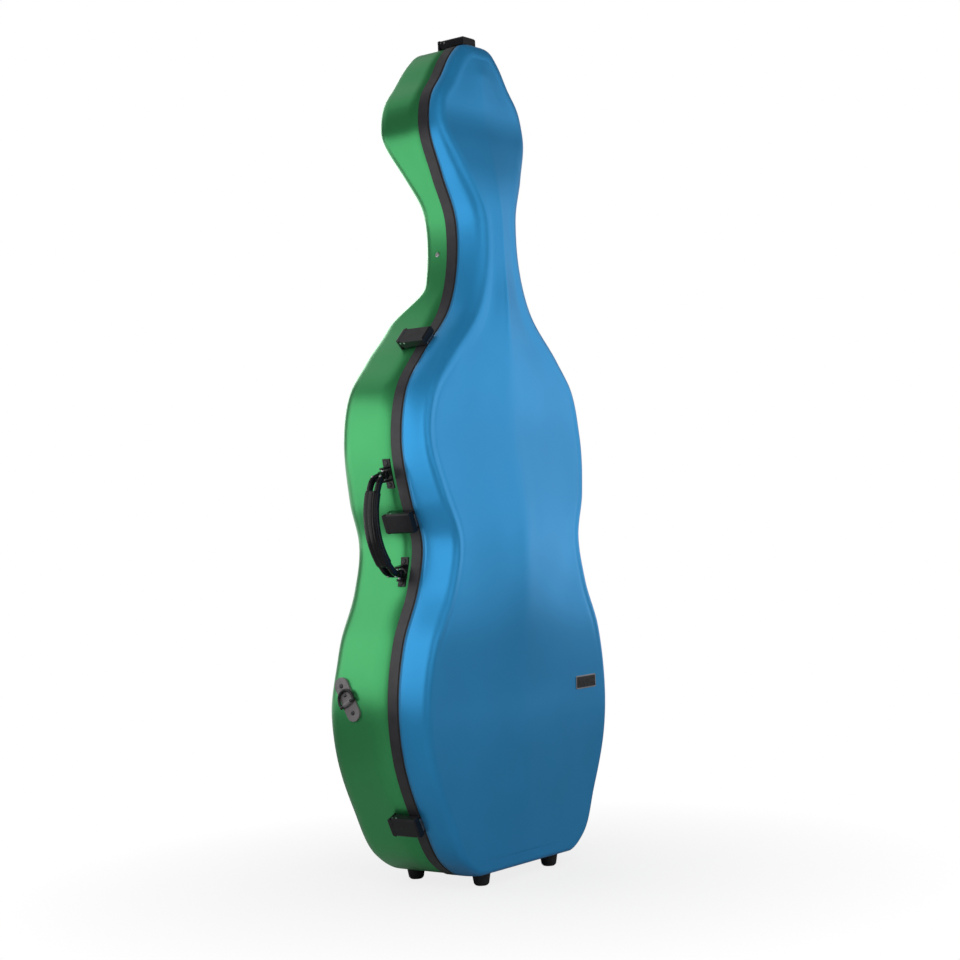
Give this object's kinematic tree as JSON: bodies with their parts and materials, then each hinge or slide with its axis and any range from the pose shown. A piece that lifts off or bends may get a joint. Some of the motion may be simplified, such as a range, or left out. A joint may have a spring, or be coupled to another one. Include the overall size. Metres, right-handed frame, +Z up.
{
  "type": "cello hard case",
  "caption": "Hard shell case for a full-size cello: hinged lid, over-centre latches, side carrying handle, strap rings, feet, and a lined inside with neck cradle and bow holders.",
  "frame": {"origin": "on the floor under the middle of the closed case's bounding box", "axes": "+Z up along the case, +Y towards the back of the base shell, the lid faces -Y, the handle and latches are on -X and the hinges on +X"},
  "size_m": [0.5192, 0.23, 1.3376],
  "materials": {
    "shell_green": "gloss lacquer",
    "shell_blue": "gloss lacquer",
    "band_grey": "satin",
    "rim_black": "satin",
    "seal_rubber": "matt",
    "foot_rubber": "matt",
    "plush": "velvet",
    "foam_cloth": "brushed cloth over foam",
    "webbing": "woven",
    "button_black": "satin",
    "hinge_grey": "satin",
    "steel": "satin",
    "latch_black": "satin",
    "bracket_black": "satin",
    "grip_black": "satin",
    "plate_grey": "satin",
    "ring_black": "gloss"
  },
  "bodies": {
    "base": {"base_shell": "shell_green", "base_rim": "band_grey", "seal_gasket": "seal_rubber", "base_lining": "plush", "neck_cradle": "foam_cloth", "neck_strap": "webbing", "lower_block": "foam_cloth", "bout_pads": "foam_cloth", "base_feet": "foot_rubber", "hinge_base_leaf_lower": "hinge_grey", "hinge_base_leaf_middle": "hinge_grey", "hinge_base_leaf_upper": "hinge_grey", "hinge_pin_lower": "steel", "hinge_pin_middle": "steel", "hinge_pin_upper": "steel", "latch_base_top": "latch_black", "latch_base_shoulder": "latch_black", "latch_base_waist": "latch_black", "latch_base_lower": "latch_black", "latch_pin_top": "steel", "latch_pin_shoulder": "steel", "latch_pin_waist": "steel", "latch_pin_lower": "steel", "handle_bracket_upper": "bracket_black", "handle_bracket_lower": "bracket_black", "handle_pins": "steel", "handle_screws": "steel", "ring_plate_left": "plate_grey", "ring_plate_right": "plate_grey", "ring_rivets": "steel", "neck_screws": "steel"},
    "lid": {"lid_shell": "shell_blue", "lid_rim": "rim_black", "lid_lining": "plush", "lid_feet": "foot_rubber", "bow_rests": "foam_cloth", "bow_frog_holder_left": "plush", "bow_frog_holder_right": "plush", "spinner_screws": "steel", "hinge_lid_leaf_lower": "hinge_grey", "hinge_lid_leaf_middle": "hinge_grey", "hinge_lid_leaf_upper": "hinge_grey", "latch_catch_top": "steel", "latch_catch_shoulder": "steel", "latch_catch_waist": "steel", "latch_catch_lower": "steel"},
    "lever_top": {"latch_lever_top": "latch_black"},
    "bail_top": {"latch_bail_top": "steel"},
    "lever_shoulder": {"latch_lever_shoulder": "latch_black"},
    "bail_shoulder": {"latch_bail_shoulder": "steel"},
    "lever_waist": {"latch_lever_waist": "latch_black"},
    "bail_waist": {"latch_bail_waist": "steel"},
    "lever_lower": {"latch_lever_lower": "latch_black"},
    "bail_lower": {"latch_bail_lower": "steel"},
    "handle": {"handle_grip": "grip_black"},
    "ring_left": {"strap_ring_left": "ring_black"},
    "ring_right": {"strap_ring_right": "ring_black"},
    "button_left": {"bow_spinner_left": "button_black"},
    "button_right": {"bow_spinner_right": "button_black"}
  },
  "joints": [
    {"name": "lid_hinge", "type": "hinge", "parent": "base", "child": "lid", "pos_m": [0.23382, -0.041, 0.5], "axis": [-0.0866, 0, 0.9962], "range_deg": [0, 110]},
    {"name": "lever_top_pivot", "type": "hinge", "parent": "base", "child": "lever_top", "pos_m": [0, -0.0045, 1.3332], "axis": [-1, 0, 0], "range_deg": [0, 110]},
    {"name": "bail_top_pivot", "type": "hinge", "parent": "lever_top", "child": "bail_top", "pos_m": [0, 0.0025, 1.3339], "axis": [-1, 0, 0], "range_deg": [-78, 0]},
    {"name": "lever_shoulder_pivot", "type": "hinge", "parent": "base", "child": "lever_shoulder", "pos_m": [-0.13788, -0.0045, 0.85793], "axis": [-0.708, 0, -0.7063], "range_deg": [0, 110]},
    {"name": "bail_shoulder_pivot", "type": "hinge", "parent": "lever_shoulder", "child": "bail_shoulder", "pos_m": [-0.13838, 0.0025, 0.85842], "axis": [-0.708, 0, -0.7063], "range_deg": [-78, 0]},
    {"name": "lever_waist_pivot", "type": "hinge", "parent": "base", "child": "lever_waist", "pos_m": [-0.19443, -0.0045, 0.56917], "axis": [0.342, 0, -0.9397], "range_deg": [0, 75]},
    {"name": "bail_waist_pivot", "type": "hinge", "parent": "lever_waist", "child": "bail_waist", "pos_m": [-0.19509, 0.0025, 0.56893], "axis": [0.342, 0, -0.9397], "range_deg": [-53.5, 0]},
    {"name": "lever_lower_pivot", "type": "hinge", "parent": "base", "child": "lever_lower", "pos_m": [-0.21213, -0.0045, 0.10635], "axis": [0.4154, 0, -0.9096], "range_deg": [0, 110]},
    {"name": "bail_lower_pivot", "type": "hinge", "parent": "lever_lower", "child": "bail_lower", "pos_m": [-0.21276, 0.0025, 0.10606], "axis": [0.4154, 0, -0.9096], "range_deg": [-78, 0]},
    {"name": "handle_pivot", "type": "hinge", "parent": "base", "child": "handle", "pos_m": [-0.20505, -0.009, 0.56751], "axis": [0.1656, 0, -0.9862], "range_deg": [-60, 75]},
    {"name": "ring_left_pivot", "type": "hinge", "parent": "base", "child": "ring_left", "pos_m": [-0.25037, 0.0557, 0.29731], "axis": [0.043, -0.8572, 0.5132], "range_deg": [0, 170]},
    {"name": "ring_right_pivot", "type": "hinge", "parent": "base", "child": "ring_right", "pos_m": [0.25037, 0.0557, 0.29731], "axis": [0.043, 0.8572, -0.5132], "range_deg": [0, 170]},
    {"name": "button_left_turn", "type": "hinge", "parent": "lid", "child": "button_left", "pos_m": [-0.071, -0.0547, 0.82], "axis": [0, 1, 0], "range_deg": [0, 90]},
    {"name": "button_right_turn", "type": "hinge", "parent": "lid", "child": "button_right", "pos_m": [0.071, -0.0547, 0.82], "axis": [0, 1, 0], "range_deg": [0, 90]}
  ],
  "couplings": [
    {"joint": "bail_top_pivot", "follows": "lever_top_pivot", "ratio": -0.7},
    {"joint": "bail_shoulder_pivot", "follows": "lever_shoulder_pivot", "ratio": -0.7},
    {"joint": "bail_waist_pivot", "follows": "lever_waist_pivot", "ratio": -0.7},
    {"joint": "bail_lower_pivot", "follows": "lever_lower_pivot", "ratio": -0.7}
  ]
}
